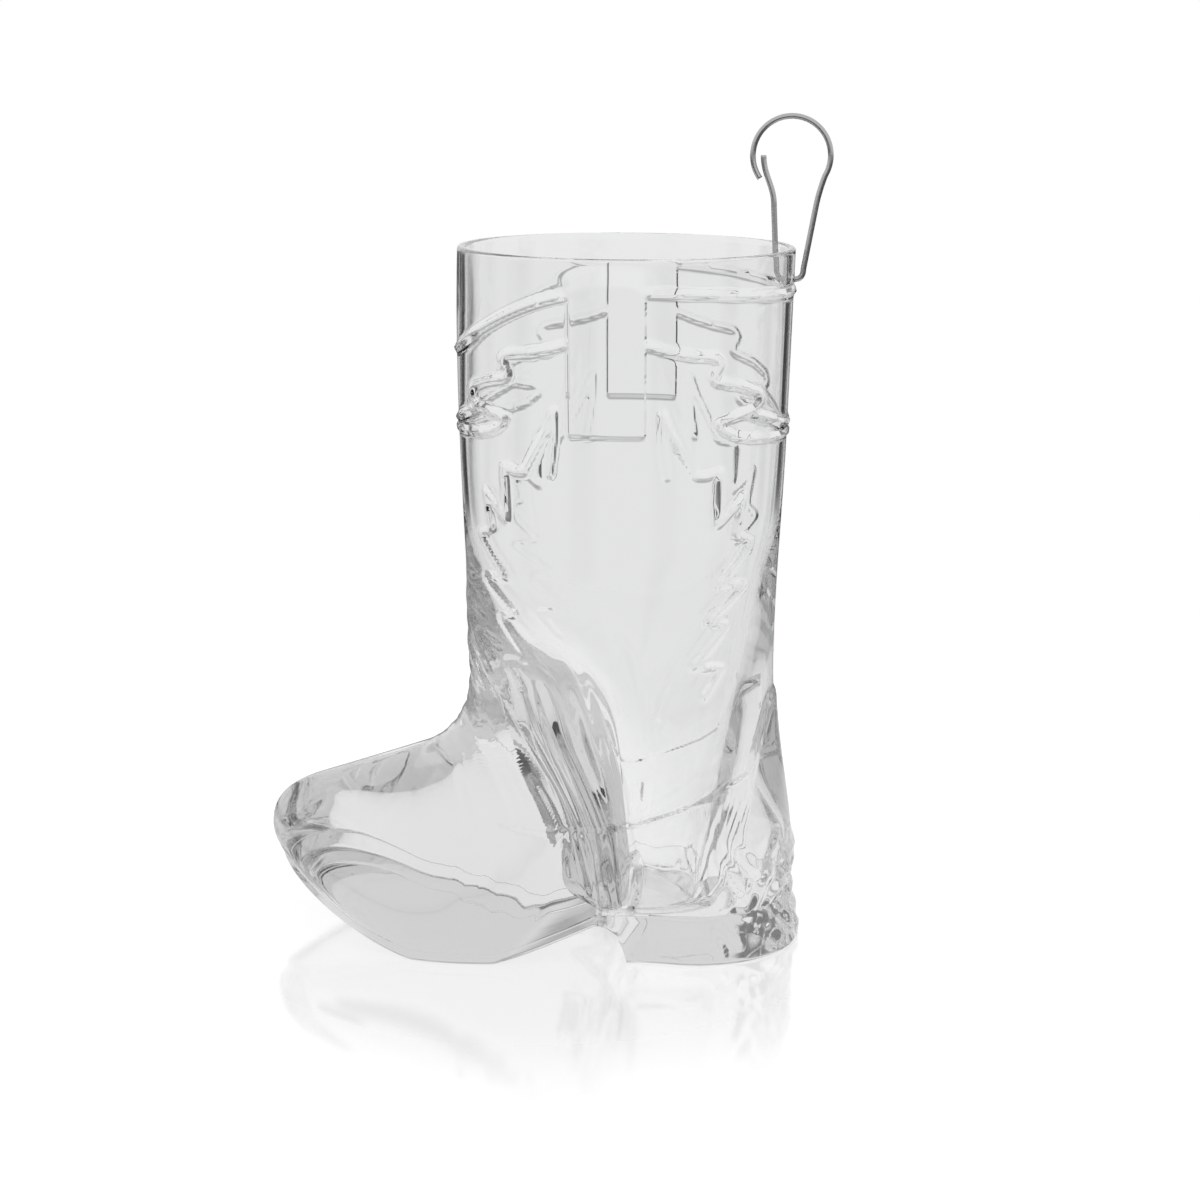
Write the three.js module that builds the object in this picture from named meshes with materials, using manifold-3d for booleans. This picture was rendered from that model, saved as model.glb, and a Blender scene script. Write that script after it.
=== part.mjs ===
// Boot shot cup: a clear moulded western boot that holds a drink, and the sprung wire clip that hangs it.
// Millimetres, +Z up. The toe points to -X. The origin is on the ground, under the middle of the outline.
import * as THREE from "three";
import { mergeVertices } from "three/addons/utils/BufferGeometryUtils.js";
import Module from "manifold-3d";

const wasm = await Module();
wasm.setup();

// Shaft of the boot. Reaches along X are measured from the shaft's upright axis.
const bootHeight = 88.9;
const rimLength = 41.8;
const rimWidth = 33.2;
const calfHeight = 65;
const calfFront = 21.6;
const calfBack = 20.15;
const calfWidth = 31.1;
const ankleHeight = 34;
const ankleFront = 19.8;
const ankleBack = 19.1;
const ankleWidth = 26.4;

// Foot: the front line runs down the shin, round the throat, along the vamp and over the toe.
const throatReach = 27;
const throatHeight = 23.4;
const toeTopReach = 41.5;
const toeTopHeight = 18.6;
const toeReach = 47.3;
const toeHeight = 11.6;
const toeUnderReach = 45.9;
const heelBulge = 21.6;
const heelBulgeHeight = 12;
const seatBack = 21.3;
const seatCentre = 7.8;
const seatWidth = 25;
const ballReach = 20;
const footWidth = 34.2;
const toePoint = 1.5;
const bendTop = 30;

// Sole and heel
const soleThickness = 1.4;
const soleEdge = 0.4;
const soleStart = 25;
const toeSpring = 7.5;
const springPower = 1.2;
const archStart = 14.5;
const archEnd = 1.8;
const archPower = 1.2;
const heelHeight = 4.9;
const heelFront = 2.2;
const heelFlare = 1.4;
const breastHollow = 1.2;

// Drink well: parallel to the shaft above its shoulder, then a funnel that slopes back to a small floor in the heel.
const wall = 1;
const wellShoulder = 56;
const wellNeck = 43;
const wellNeckFront = 17.8;
const wellNeckBack = 16.8;
const wellNeckWidth = 24.6;
const wellWaist = 33;
const wellWaistFront = 14.4;
const wellWaistBack = 15.4;
const wellWaistWidth = 22.4;
const wellFoot = 16;
const wellFootFront = 10;
const wellFootBack = 13.6;
const wellFootWidth = 20;
const wellFloor = 5;
const wellFloorFront = 8;
const wellFloorBack = 12.6;
const wellFloorWidth = 18.5;
const wellCorner = 2.5;

// Raised trim moulded on the outside
const beadHeight = 0.28;
const beadWidth = 1.3;
const collarDrop = 3.9;
const collarDip = 9;
const collarBackDip = 1.3;
const collarCurve = 2;
const strapWidth = 9.7;
const strapLength = 17.3;
const strapThickness = 0.35;
const counterThickness = 0.35;
const counterTop = 32.5;
const counterSide = 17.2;
const counterFront = 1.2;
const counterCurve = 2;

// Hanging clip: spring wire through a hole in the back wall
const wireDiameter = 0.7;
const holeDrop = 3.8;
const holeClearance = 0.35;
const legGap = 1.25;
const outsideBend = 1.1;
const neckRise = 8.9;
const neckGap = 5.1;
const neckShift = 0.5;
const loopDiameter = 9.4;
const loopRise = 14.9;
const loopJoin = 30;
const loopEnd = 36;
const tipRise = 14.9;
const tipInset = 1.3;

// How full the curves of the front outline are, as shares of the straight runs between its points
const toeCurl = 0.4;
const toeRound = 0.5;
const toeCrown = 0.65;
const toeSlope = 0.2;
const throatSweep = 0.5;
const throatLift = 0.13;
const throatRound = 0.42;

// Facets
const rows = 44;
const toeColumns = 11;
const waistColumns = 3;
const heelColumns = 12;
const wellRows = 10;
const cornerRows = 3;
const beadColumns = 30;
const wireSides = 8;
const wireSteps = 84;
const embed = 0.8;
const cutMargin = 12;
const groundSteps = 30;
const weld = 1e-4;

const clamp = THREE.MathUtils.clamp;
const lerp = THREE.MathUtils.lerp;
const ease = (value, start, end) => THREE.MathUtils.smoothstep(value, start, end);

// A smooth line through [place, value] pairs, given in rising order of place.
function lineThrough(pairs) {
  const slope = (a, b) => (b[1] - a[1]) / (b[0] - a[0]);
  const slopes = pairs.map((pair, i) =>
    slope(pairs[Math.max(i - 1, 0)], pairs[Math.min(i + 1, pairs.length - 1)]));
  return (place) => {
    let i = 0;
    while (i < pairs.length - 2 && place > pairs[i + 1][0]) i += 1;
    const span = pairs[i + 1][0] - pairs[i][0];
    const t = clamp((place - pairs[i][0]) / span, 0, 1);
    const fromStart = pairs[i][1] * (1 + 2 * t) * (1 - t) ** 2 + slopes[i] * span * t * (1 - t) ** 2;
    const fromEnd = pairs[i + 1][1] * t * t * (3 - 2 * t) + slopes[i + 1] * span * t * t * (t - 1);
    return fromStart + fromEnd;
  };
}

// Underside of the sole: toe spring, flat ball, and the arch up to the heel seat.
function soleUnder(x) {
  const spring = Math.max(0, -x - soleStart) / (toeUnderReach - soleStart);
  const arch = clamp((x + archStart) / (archStart - archEnd), 0, 1);
  return toeSpring * spring ** springPower + heelHeight * arch ** archPower;
}

// The feather line, where the upper meets the top of the sole.
const featherLine = (x) => soleUnder(x) + soleThickness;

// Front outline from the sole at the toe up to the rim, in the plane of symmetry.
function frontOutline() {
  const third = 1 / 3;
  const underHeight = featherLine(-toeUnderReach);
  const path = new THREE.Path();
  path.moveTo(-toeUnderReach, underHeight);
  path.quadraticCurveTo(-toeReach, lerp(underHeight, toeHeight, toeCurl), -toeReach, toeHeight);
  path.bezierCurveTo(
    -toeReach, lerp(toeHeight, toeTopHeight, toeRound),
    -lerp(toeTopReach, toeReach, toeCrown), lerp(toeTopHeight, toeHeight, toeSlope),
    -toeTopReach, toeTopHeight);
  path.lineTo(-throatReach, throatHeight);
  path.bezierCurveTo(
    -lerp(throatReach, ankleFront, throatSweep), lerp(throatHeight, ankleHeight, throatLift),
    -ankleFront, lerp(throatHeight, ankleHeight, throatRound),
    -ankleFront, ankleHeight);
  path.bezierCurveTo(
    -lerp(ankleFront, calfFront, third), lerp(ankleHeight, bootHeight, third),
    -calfFront, lerp(bootHeight, ankleHeight, third),
    -rimLength / 2, bootHeight);
  return path;
}

// How far a level still follows the bent sole: wholly at the feather line, not at all above the throat.
const bend = (level) => clamp(1 - level / bendTop, 0, 1);
const heightOn = (level, x) => level + featherLine(x) * bend(level);

const backReach = lineThrough([
  [featherLine(seatBack), seatBack],
  [heelBulgeHeight, heelBulge],
  [ankleHeight, ankleBack],
  [calfHeight, calfBack],
  [bootHeight, rimLength / 2],
]);
const halfWidth = lineThrough([
  [0, ankleWidth / 2],
  [ankleHeight, ankleWidth / 2],
  [calfHeight, calfWidth / 2],
  [bootHeight, rimWidth / 2],
]);

// The upper's levels: each has its front and back reach, its half width and its share of the foot's outline.
function upperLevels() {
  return frontOutline().getSpacedPoints(rows).map((point) => {
    const feather = featherLine(point.x);
    const bent = (point.y - feather) / (1 - feather / bendTop);
    const level = point.y < bendTop ? Math.max(bent, 0) : point.y;
    return {
      level,
      front: -point.x,
      back: backReach(heightOn(level, seatBack)),
      half: halfWidth(level),
      foot: 1 - ease(level, 0, bendTop),
    };
  });
}

// Half of a shaft outline, from front to back: two half ellipses that meet on the axis.
function shaftHalf(shape, offset) {
  const columns = toeColumns + waistColumns + heelColumns;
  return Array.from({ length: columns + 1 }, (unused, j) => {
    const angle = (Math.PI * j) / columns;
    const reach = (Math.cos(angle) > 0 ? shape.front : shape.back) + offset;
    return new THREE.Vector2(-Math.cos(angle) * reach, Math.sin(angle) * (shape.half + offset));
  });
}

// Half of a foot outline, from toe to heel: a pointed toe, a waist and a round heel.
function footHalf(shape, offset) {
  const ball = footWidth / 2 + offset;
  const seat = seatWidth / 2 + offset;
  const points = [];
  for (let j = 0; j < toeColumns; j += 1) {
    const angle = (Math.PI / 2) * (j / toeColumns);
    const reach = shape.front + offset - ballReach;
    points.push(new THREE.Vector2(-ballReach - Math.cos(angle) * reach, ball * Math.sin(angle) ** toePoint));
  }
  for (let j = 0; j < waistColumns; j += 1) {
    const share = j / waistColumns;
    points.push(new THREE.Vector2(lerp(-ballReach, seatCentre, share), lerp(ball, seat, ease(share, 0, 1))));
  }
  for (let j = 0; j <= heelColumns; j += 1) {
    const angle = (Math.PI / 2) * (j / heelColumns);
    const reach = shape.back + offset - seatCentre;
    points.push(new THREE.Vector2(seatCentre + Math.sin(angle) * reach, seat * Math.cos(angle)));
  }
  return points;
}

// A closed ring round one level, grown outwards by an offset, from the toe round by the near side.
function ringOf(shape, offset, heightAt) {
  const foot = footHalf(shape, offset);
  const half = shaftHalf(shape, offset).map((point, j) => point.lerp(foot[j], shape.foot));
  const near = half.map((point) => new THREE.Vector3(point.x, -point.y, heightAt(point.x)));
  const far = half.slice(1, -1).map((point) => new THREE.Vector3(point.x, point.y, heightAt(point.x)));
  return [...near, ...far.reverse()];
}

// A solid from rings listed upwards, closed below and above by strips that join its two sides.
function loft(rings) {
  const count = rings[0].length;
  const half = count / 2;
  const index = [];
  const quad = (a, b, c, d) => index.push(a, b, c, a, c, d);
  rings.slice(1).forEach((unused, i) => {
    for (let k = 0; k < count; k += 1) {
      const next = (k + 1) % count;
      quad(i * count + k, i * count + next, (i + 1) * count + next, (i + 1) * count + k);
    }
  });
  const top = (rings.length - 1) * count;
  for (let j = 0; j < half; j += 1) {
    const strip = [j, j + 1, count - j - 1, (count - j) % count];
    quad(...strip.map((k) => top + k));
    quad(...strip.toReversed());
  }
  const geometry = new THREE.BufferGeometry().setFromPoints(rings.flat());
  geometry.setIndex(index.filter((unused, i) => notFlat(index, i)));
  return solidOf(geometry);
}

// The strips narrow to a point at toe and heel, where one triangle of each has no area.
function notFlat(index, i) {
  const [a, b, c] = index.slice(i - (i % 3), i - (i % 3) + 3);
  return a !== b && b !== c && a !== c;
}

function solidOf(geometry) {
  geometry.deleteAttribute("normal");
  geometry.deleteAttribute("uv");
  const welded = mergeVertices(geometry, weld);
  return new wasm.Manifold(new wasm.Mesh({
    numProp: 3,
    vertProperties: welded.attributes.position.array,
    triVerts: new Uint32Array(welded.index.array),
  }));
}

function meshOf(solid, name, material) {
  const mesh = solid.getMesh();
  const geometry = new THREE.BufferGeometry();
  geometry.setAttribute("position", new THREE.BufferAttribute(mesh.vertProperties, 3));
  geometry.setIndex(new THREE.BufferAttribute(mesh.triVerts, 1));
  geometry.computeVertexNormals();
  const named = new THREE.Mesh(geometry, material);
  named.name = name;
  return named;
}

// A flat outline in X and Z, drawn out evenly to both sides of the plane of symmetry.
function crosswise(shape, width) {
  const geometry = new THREE.ExtrudeGeometry(shape, { depth: width, bevelEnabled: false, steps: 1 });
  geometry.translate(0, 0, -width / 2);
  geometry.rotateX(Math.PI / 2);
  return solidOf(geometry);
}

const acrossAll = Math.max(rimWidth, footWidth) + 2 * cutMargin;
const levels = upperLevels();

// The upper, from inside the sole to the rim, grown outwards by an offset.
function upper(offset) {
  const rooted = ringOf(levels[0], offset, (x) => featherLine(x) - embed);
  const rings = levels.map((shape) => ringOf(shape, offset, (x) => heightOn(shape.level, x)));
  return loft([rooted, ...rings]);
}

// Sole and heel in one: straight sides that flare at the heel, trimmed below by the walking line.
function soleAndHeel() {
  const seat = levels[0];
  const straight = ringOf(seat, soleEdge, () => -embed);
  const wide = ringOf(seat, soleEdge + heelFlare, () => -embed);
  const flared = straight.map((point, k) => point.lerp(wide[k], ease(point.x, -archEnd, seatBack)));
  const block = loft([flared, ringOf(seat, soleEdge, featherLine)]);

  const ground = new THREE.Shape();
  const start = -toeReach - cutMargin;
  ground.moveTo(start, -cutMargin);
  for (let i = 0; i <= groundSteps; i += 1) {
    const x = lerp(start, -archEnd, i / groundSteps);
    ground.lineTo(x, soleUnder(x));
  }
  ground.quadraticCurveTo(heelFront - breastHollow, heelHeight, heelFront, 0);
  ground.lineTo(seatBack + cutMargin, 0);
  ground.lineTo(seatBack + cutMargin, -cutMargin);
  return block.subtract(crosswise(ground, acrossAll));
}

// Front reach of the shaft at a height above the throat.
function frontReach(height) {
  const i = levels.findIndex((shape) => shape.level >= height);
  const [below, above] = [levels[i - 1], levels[i]];
  return lerp(below.front, above.front, (height - below.level) / (above.level - below.level));
}

// Reaches of the drink well, from its floor up to the rim, about the shaft's axis.
const wellLine = (floor, foot, waist, neck, outside) => lineThrough([
  [wellFloor, floor],
  [wellFoot, foot],
  [wellWaist, waist],
  [wellNeck, neck],
  [wellShoulder, outside(wellShoulder) - wall],
  [bootHeight, outside(bootHeight) - wall],
]);
const wellFront = wellLine(wellFloorFront, wellFootFront, wellWaistFront, wellNeckFront, frontReach);
const wellBack = wellLine(wellFloorBack, wellFootBack, wellWaistBack, wellNeckBack, backReach);
const wellHalf = wellLine(wellFloorWidth / 2, wellFootWidth / 2, wellWaistWidth / 2, wellNeckWidth / 2, halfWidth);

// The drink well is round about the axis above its neck, and about the middle of its reaches below, with a round corner.
function drinkWell() {
  const ringAt = (height, inset) => {
    const shift = ((wellBack(height) - wellFront(height)) / 2) * (1 - ease(height, wellNeck, wellShoulder));
    const ring = ringOf({
      front: wellFront(height) + shift,
      back: wellBack(height) - shift,
      half: wellHalf(height),
      foot: 0,
    }, -inset, () => height);
    ring.forEach((point) => {
      point.x += shift;
    });
    return ring;
  };
  const rings = [];
  for (let i = 0; i < cornerRows; i += 1) {
    const turn = (Math.PI / 2) * (i / cornerRows);
    rings.push(ringAt(wellFloor + wellCorner * (1 - Math.cos(turn)), wellCorner * (1 - Math.sin(turn))));
  }
  for (let i = 0; i <= wellRows; i += 1) {
    rings.push(ringAt(lerp(wellFloor + wellCorner, bootHeight, i / wellRows), 0));
  }
  rings.push(ringAt(bootHeight + cutMargin, 0));
  return loft(rings);
}

// The collar bead: a rounded ridge that dips low at the shin and a little at the back.
function collarBead() {
  const section = [
    [-embed, -beadWidth / 2],
    [-beadHeight / 4, -beadWidth / 2],
    [beadHeight, -beadWidth / 6],
    [beadHeight, beadWidth / 6],
    [-beadHeight / 4, beadWidth / 2],
    [-embed, beadWidth / 2],
  ];
  const columns = 2 * beadColumns;
  const points = [];
  const index = [];
  for (let k = 0; k < columns; k += 1) {
    const angle = (Math.PI * k) / beadColumns;
    const along = Math.cos(angle);
    const dip = (along > 0 ? collarDip : collarBackDip) * Math.abs(along) ** collarCurve;
    for (const [out, up] of section) {
      const z = bootHeight - collarDrop - dip + up;
      const reach = along > 0 ? frontReach(z) : backReach(z);
      points.push(new THREE.Vector3(-along * (reach + out), -Math.sin(angle) * (halfWidth(z) + out), z));
    }
    const next = (k + 1) % columns;
    section.forEach((unused, i) => {
      const above = (i + 1) % section.length;
      const [a, b] = [k * section.length + i, next * section.length + i];
      const [c, d] = [next * section.length + above, k * section.length + above];
      index.push(a, b, c, a, c, d);
    });
  }
  return solidOf(new THREE.BufferGeometry().setFromPoints(points).setIndex(index));
}

// Pull straps: flat tabs that hang from the collar on both sides.
function pullStraps() {
  const top = bootHeight - collarDrop;
  const tab = new THREE.Shape();
  tab.moveTo(-strapWidth / 2, top - strapLength);
  tab.lineTo(strapWidth / 2, top - strapLength);
  tab.lineTo(strapWidth / 2, top);
  tab.lineTo(-strapWidth / 2, top);
  return upper(strapThickness).intersect(crosswise(tab, acrossAll));
}

// Heel counter: the raised panel round the back of the foot, with its point at the back seam.
function heelCounter() {
  const behind = heelBulge + cutMargin;
  const panel = new THREE.Shape();
  panel.moveTo(heelFront, 0);
  panel.lineTo(behind, 0);
  panel.lineTo(behind, counterTop);
  panel.lineTo(ankleBack - counterThickness, counterTop);
  panel.quadraticCurveTo(ankleBack - counterCurve, counterSide, -counterFront, counterSide);
  panel.lineTo(heelFront, heelHeight + soleThickness);
  return upper(counterThickness).intersect(crosswise(panel, acrossAll));
}

// The hole for the clip goes through the back wall, along X.
const holeHeight = bootHeight - holeDrop;
function clipHole() {
  const radius = wireDiameter / 2 + holeClearance;
  const length = 2 * cutMargin;
  const drill = new THREE.CylinderGeometry(radius, radius, length, 2 * wireSides);
  drill.rotateZ(Math.PI / 2);
  drill.translate(backReach(holeHeight), 0, holeHeight);
  return solidOf(drill);
}

function bootCup() {
  return upper(0)
    .add(soleAndHeel())
    .add(collarBead())
    .add(pullStraps())
    .add(heelCounter())
    .subtract(drinkWell())
    .subtract(clipHole());
}

// A curve drawn in X and Z, standing in the plane of symmetry.
class UprightCurve extends THREE.Curve {
  constructor(path) {
    super();
    this.path = path;
  }

  getPoint(t, target = new THREE.Vector3()) {
    const point = this.path.getPoint(t);
    return target.set(point.x, 0, point.y);
  }
}

// The clip: up inside the rim to a free tip, through the wall, up outside and round in a pear shaped loop.
const insideLeg = wellBack(holeHeight) - legGap;
const outsideLeg = backReach(holeHeight) + outsideBend;
const loopCentre = (insideLeg + outsideLeg) / 2;
const loopRadius = loopDiameter / 2;
function hangingClip() {
  const bendTopHeight = holeHeight + legGap;
  const neckHeight = holeHeight + neckRise;
  const neckInside = loopCentre + neckShift - neckGap / 2;
  const neckOutside = loopCentre + neckShift + neckGap / 2;
  const loopHeight = holeHeight + loopRise;
  const tipReach = loopCentre - loopRadius + tipInset;
  const path = new THREE.Path();
  path.moveTo(tipReach, holeHeight + tipRise);
  path.bezierCurveTo(
    tipReach, lerp(neckHeight, loopHeight, 0.6),
    neckInside, lerp(neckHeight, loopHeight, 0.4),
    neckInside, neckHeight);
  path.lineTo(insideLeg, bendTopHeight);
  path.quadraticCurveTo(insideLeg, holeHeight, insideLeg + legGap, holeHeight);
  path.lineTo(outsideLeg - outsideBend, holeHeight);
  path.quadraticCurveTo(outsideLeg, holeHeight, outsideLeg, bendTopHeight);
  path.lineTo(neckOutside, neckHeight);
  const joinAngle = THREE.MathUtils.degToRad(-loopJoin);
  const endAngle = Math.PI + THREE.MathUtils.degToRad(loopEnd);
  const join = new THREE.Vector2(loopRadius, 0).rotateAround(new THREE.Vector2(), joinAngle);
  path.quadraticCurveTo(
    lerp(outsideLeg, neckOutside, 1.25), lerp(neckHeight, loopHeight, 0.3),
    loopCentre + join.x, loopHeight + join.y);
  path.absarc(loopCentre, loopHeight, loopRadius, joinAngle, endAngle, false);

  const section = new THREE.Shape();
  section.absarc(0, 0, wireDiameter / 2, 0, 2 * Math.PI, false);
  return solidOf(new THREE.ExtrudeGeometry(section, {
    extrudePath: new UprightCurve(path),
    steps: wireSteps,
    curveSegments: wireSides / 2,
    bevelEnabled: false,
  }));
}

const clearPlastic = new THREE.MeshStandardMaterial({
  color: 0xe8ebec,
  roughness: 0.06,
  metalness: 0,
  transparent: true,
  opacity: 0.35,
});
const springSteel = new THREE.MeshStandardMaterial({ color: 0x8e8f90, roughness: 0.3, metalness: 1 });

// The outline runs from the toe to the far side of the clip, and its middle stands over the origin.
const outlineBack = loopCentre + loopRadius + wireDiameter / 2;
const bootShotCup = new THREE.Group();
bootShotCup.add(meshOf(bootCup(), "boot_cup", clearPlastic));
bootShotCup.add(meshOf(hangingClip(), "hanging_clip", springSteel));
bootShotCup.children.forEach((piece) => {
  piece.position.x = (toeReach - outlineBack) / 2;
});

export default bootShotCup;
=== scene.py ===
import math
import bmesh
import bpy
import numpy as np
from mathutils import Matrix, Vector


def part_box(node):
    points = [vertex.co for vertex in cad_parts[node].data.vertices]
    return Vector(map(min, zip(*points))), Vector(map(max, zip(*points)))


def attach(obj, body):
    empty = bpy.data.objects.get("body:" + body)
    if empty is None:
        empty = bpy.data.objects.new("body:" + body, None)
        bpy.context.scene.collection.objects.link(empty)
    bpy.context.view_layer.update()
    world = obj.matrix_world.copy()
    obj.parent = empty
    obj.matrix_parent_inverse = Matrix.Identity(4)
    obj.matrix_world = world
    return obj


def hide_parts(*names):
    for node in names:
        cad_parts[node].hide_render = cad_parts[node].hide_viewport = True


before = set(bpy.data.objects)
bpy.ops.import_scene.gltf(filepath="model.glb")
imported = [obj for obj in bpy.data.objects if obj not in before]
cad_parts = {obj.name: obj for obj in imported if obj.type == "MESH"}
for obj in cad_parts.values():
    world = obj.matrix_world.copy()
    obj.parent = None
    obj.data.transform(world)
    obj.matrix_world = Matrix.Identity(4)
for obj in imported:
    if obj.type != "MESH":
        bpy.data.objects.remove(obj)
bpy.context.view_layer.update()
print("frame loaded")

mm = 0.001  # sizes below are in millimetres, with x measured from the upright axis of the shaft

# The boot: shaft, foot, sole and heel, drink well, and the hole for the clip
boot = {
    "height": 88.9, "rimLength": 41.8, "rimWidth": 33.2,
    "calfHeight": 65, "calfFront": 21.6, "calfBack": 20.15, "calfWidth": 31.1,
    "ankleHeight": 34, "ankleFront": 19.8, "ankleBack": 19.1, "ankleWidth": 26.4,
    "throatReach": 27, "throatHeight": 23.4, "toeTopReach": 41.5, "toeTopHeight": 18.6,
    "toeReach": 47.3, "toeHeight": 11.6, "toeUnderReach": 45.9, "toeRound": 0.4, "tipRound": 0.5,
    "crownRound": (0.65, 0.2), "throatRound": (0.5, 0.13), "ankleRound": 0.42,
    "heelBulge": 21.6, "heelBulgeHeight": 12, "seatBack": 21.3, "seatCentre": 7.8, "seatWidth": 25,
    "ballReach": 20, "footWidth": 34.2, "toePoint": 1.5, "bendTop": 30,
    "soleThickness": 1.4, "soleEdge": 0.4, "toeLedge": 0.1,
    "soleStart": 25, "toeSpring": 7.5, "springPower": 1.2,
    "archStart": 14.5, "archEnd": 1.8, "archPower": 1.2,
    "heelHeight": 4.9, "heelFront": 2.2, "heelFlare": 1.4, "flareDepth": 0.8, "breastHollow": 1.2,
    "edgeRound": 0.3, "wall": 1, "lipRound": 0.36,
    "wellShoulder": 56,
    "wellNeck": 43, "wellNeckFront": 17.8, "wellNeckBack": 16.8, "wellNeckWidth": 24.6,
    "wellWaist": 33, "wellWaistFront": 14.4, "wellWaistBack": 15.4, "wellWaistWidth": 22.4,
    "wellFoot": 16, "wellFootFront": 10, "wellFootBack": 13.6, "wellFootWidth": 20,
    "wellFloor": 5, "wellFloorFront": 8, "wellFloorBack": 12.6, "wellFloorWidth": 18.5, "wellCorner": 2.5,
    "wellPoint": 1.5, "wellPointed": (42, 27),
    "fluteHeight": 0.25, "fluteSpacing": 3.2, "fluteLean": 0.33, "fluteSwerve": (0.8, 0.3),
    "fluteChange": (0.4, 0.37), "fluteBack": (0.1, 0.35), "fluteFront": (1, 0.85),
    "holeDrop": 3.8, "holeRadius": 0.7, "holeCut": 0.85, "sharpAngle": 50,
}

# Columns of one side, from toe to heel, and rows, from the underside's middle round to the well's floor
weave = {
    "toe": 54, "waist": 26, "breast": 10, "seat": 6, "heel": 64, "gather": 1.25,
    "underside": 5, "edge": 3, "side": 9, "ledge": 2, "foot": 64, "shaft": 136,
    "lip": 4, "wellTop": 20, "well": 52, "wellGather": 0.6, "corner": 6, "floor": 5,
    "toeShare": 11 / 26, "waistShare": 3 / 26,
}

# Raised work on the outside. The shaft's lines are (way round from the strap's middle, height), the same to
# the front and to the back on both sides. The foot's lines are (x, height).
relief = {
    "cordHeight": 0.36, "cordWidth": 1.25,
    "collarHeight": 85.0, "collarDip": 9.0, "collarBackDip": 1.3,
    "strapWidth": 9.7, "strapFoot": 67.7, "strapTop": 85.2, "strapThickness": 0.35,
    "strapEdges": (0.35, 0.14), "strapFootEdge": 0.18, "strapTopEdge": 3, "strapWidens": (84.2, 87.2),
    "shaftStart": (30, 34),
    "scroll": [(4.6, 78.8), (7.1, 78.0), (9.5, 77.5), (13.2, 77.1), (13.9, 76.3), (12.8, 74.6),
               (13.4, 74.1), (16.8, 73.4), (19.6, 72.3), (20.2, 71.4), (18.9, 70.4), (16.2, 69.8),
               (13.6, 69.2), (14.1, 68.3), (15.9, 67.3), (18.5, 66.8), (24, 66.4), (30, 66.3)],
    "leaf": [(18.5, 69.9), (21.1, 69.1), (26.0, 67.6), (30, 67.2)],
    "finger": [(6.5, 70.6), (6.6, 67.0), (7.2, 62.8)],
    "flame": [(6.6, 70.6), (7.6, 68.1), (10.7, 62.8), (12.1, 62.7), (13.8, 63.2), (13.5, 57.8),
              (13.6, 56.4), (17.3, 59.7), (16.1, 55.0), (18.5, 53.9), (14.0, 49.0), (17.7, 48.5),
              (12.5, 44.4), (14.9, 43.6), (10.6, 38.7), (14.2, 38.2), (11.9, 34.6)],
    "seamHeight": 0.22, "seamWidth": 0.9,
    "vampSeam": [(-14, 18.4), (-12.3, 18.1), (-6.8, 17.3), (-1.2, 17.2), (4.0, 18.4), (8.1, 19.8),
                 (12.3, 21.4), (16.5, 23.8)],
    "sideSeam": [(3.8, 23.7), (3.3, 18.2)],
    "counterThickness": 0.35, "counterTop": 32.5, "counterBack": 18.6, "counterEdge": 0.5,
    "counterStart": (-1.5, -0.5),
    "dimpleHeight": 0.45, "dimpleSpacing": 4.6, "dimpleStretch": 1.3,
    "dimpleSwerve": ((1.3, 1.9), (1.1, 1.4)), "dimpleStart": (12, 15), "dimpleTop": (17, 10),
    "dimpleFoot": (0, 2),
    "foldHeight": 0.42, "foldSpacing": 2.7, "foldLean": 0.73, "foldTurn": (12, 24),
    "foldSwerve": (0.9, 0.22), "foldChange": (0.31, 0.08), "foldCrest": 0.7, "foldDepth": 0.35,
    "foldBack": -3, "foldSpread": 0.45, "foldMiddle": 18, "foldFade": 4,
    "foldFoot": (3, 9), "foldTop": (50, 40), "foldToe": (-21.5, -17), "foldInstep": (22, 28),
}


def lerp(a, b, t):
    return a + (b - a) * t


def ease(value, start, end):
    t = np.clip((value - start) / (end - start), 0, 1)
    return t * t * (3 - 2 * t)


def lineThrough(*pairs):  # a smooth line through (place, value) pairs
    places, values = np.array(pairs, float).T
    before = np.maximum(np.arange(len(pairs)) - 1, 0)
    after = np.minimum(np.arange(len(pairs)) + 1, len(pairs) - 1)
    slopes = (values[after] - values[before]) / (places[after] - places[before])

    def at(place):
        i = np.clip(np.searchsorted(places, place) - 1, 0, len(places) - 2)
        span = places[i + 1] - places[i]
        t = np.clip((place - places[i]) / span, 0, 1)
        leaving = values[i] * (1 + 2 * t) * (1 - t) ** 2 + slopes[i] * span * t * (1 - t) ** 2
        arriving = values[i + 1] * t * t * (3 - 2 * t) + slopes[i + 1] * span * t * t * (t - 1)
        return leaving + arriving

    return at


def bezier(*points, count=60):  # places along a curve of 2, 3 or 4 control points
    t = np.linspace(0, 1, count)[:, None]
    points = [np.array(p, float) for p in points]
    while len(points) > 1:
        points = [lerp(a, b, t) for a, b in zip(points, points[1:])]
    return points[0]


def spaced(line, count):  # evenly spaced places on a line of points
    walked = np.concatenate([[0], np.cumsum(np.hypot(*np.diff(line, axis=0).T))])
    wanted = np.linspace(0, walked[-1], count)
    return np.stack([np.interp(wanted, walked, line[:, i]) for i in (0, 1)], 1)


def soleUnder(x):  # underside of the sole: toe spring, flat ball and arch
    spring = np.maximum(0, -x - boot["soleStart"]) / (boot["toeUnderReach"] - boot["soleStart"])
    arch = np.clip((x + boot["archStart"]) / (boot["archStart"] - boot["archEnd"]), 0, 1)
    rise = boot["toeSpring"] * spring ** boot["springPower"]
    return rise + boot["heelHeight"] * arch ** boot["archPower"]


def featherLine(x):  # where the upper meets the sole
    return soleUnder(x) + boot["soleThickness"]


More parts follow.
